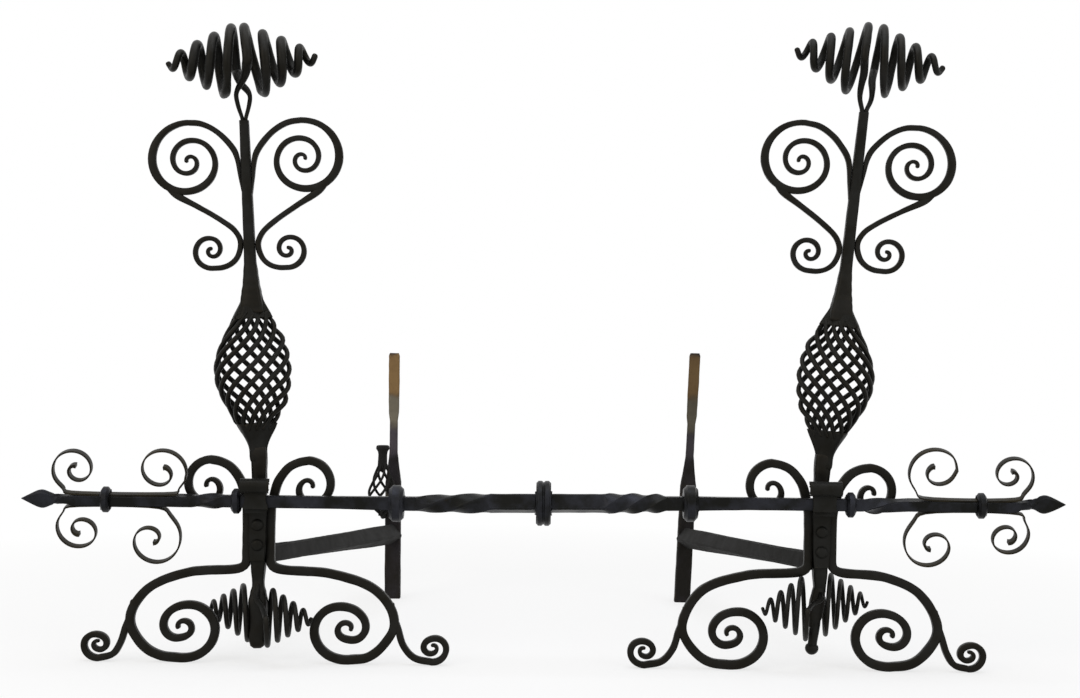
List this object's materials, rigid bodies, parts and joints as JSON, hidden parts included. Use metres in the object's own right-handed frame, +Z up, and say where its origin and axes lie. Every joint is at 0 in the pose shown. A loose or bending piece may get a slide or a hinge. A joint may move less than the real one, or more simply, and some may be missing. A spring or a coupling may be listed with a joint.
{
  "type": "andirons",
  "caption": "Pair of forged iron andirons with scrolled legs, openwork basket posts and conical coil finials, tied by a loose scrolled crossbar resting in two open hooks.",
  "frame": {"origin": "on the hearth under the middle of the whole set's bounding box", "axes": "+Z up, +X along the crossbar to the viewer's right, -Y towards the room, +Y towards the fire"},
  "size_m": [1.342, 0.6962, 0.8405],
  "materials": {
    "forged_iron": "black hand-forged iron, worn satin, faint blue-grey scale on upper faces and brown at the edges",
    "burnt_iron": "fire-burnt iron, dull, tan and orange-brown towards the top",
    "crossbar_iron": "black forged iron rubbed to a slight sheen, brown on the scroll strips"
  },
  "bodies": {
    "left_andiron": {"left_lower_post": "forged_iron", "left_basket": "forged_iron", "left_upper_post": "forged_iron", "left_top_coil_outer": "forged_iron", "left_top_coil_inner": "forged_iron", "left_heart_scroll_outer": "forged_iron", "left_heart_scroll_inner": "forged_iron", "left_leg_outer": "forged_iron", "left_leg_inner": "forged_iron", "left_crossbar_hook": "forged_iron", "left_hook_rivet_upper": "forged_iron", "left_hook_rivet_lower": "forged_iron", "left_bottom_coil_outer": "forged_iron", "left_bottom_coil_inner": "forged_iron", "left_drop": "forged_iron", "left_billet_bar": "forged_iron", "left_rear_post": "burnt_iron", "left_basket_bud": "forged_iron"},
    "right_andiron": {"right_lower_post": "forged_iron", "right_basket": "forged_iron", "right_upper_post": "forged_iron", "right_top_coil_outer": "forged_iron", "right_top_coil_inner": "forged_iron", "right_heart_scroll_outer": "forged_iron", "right_heart_scroll_inner": "forged_iron", "right_leg_outer": "forged_iron", "right_leg_inner": "forged_iron", "right_crossbar_hook": "forged_iron", "right_hook_rivet_upper": "forged_iron", "right_hook_rivet_lower": "forged_iron", "right_bottom_coil_outer": "forged_iron", "right_bottom_coil_inner": "forged_iron", "right_drop": "forged_iron", "right_billet_bar": "forged_iron", "right_rear_post": "burnt_iron"},
    "crossbar": {"crossbar_bar": "crossbar_iron", "centre_collar": "crossbar_iron", "left_inner_collar": "crossbar_iron", "left_outer_collar": "crossbar_iron", "left_end_collar": "crossbar_iron", "right_inner_collar": "crossbar_iron", "right_outer_collar": "crossbar_iron", "right_end_collar": "crossbar_iron", "left_strip_upper": "crossbar_iron", "left_strip_lower": "crossbar_iron", "right_strip_upper": "crossbar_iron", "right_strip_lower": "crossbar_iron"}
  },
  "joints": [
    {"name": "crossbar_lift", "type": "slide", "parent": "left_andiron", "child": "crossbar", "axis": [0, 0, 1], "range_m": [0, 0.05]},
    {"name": "right_andiron_slide", "type": "slide", "parent": "left_andiron", "child": "right_andiron", "axis": [1, 0, 0], "range_m": [-0.06, 0.0088]}
  ]
}
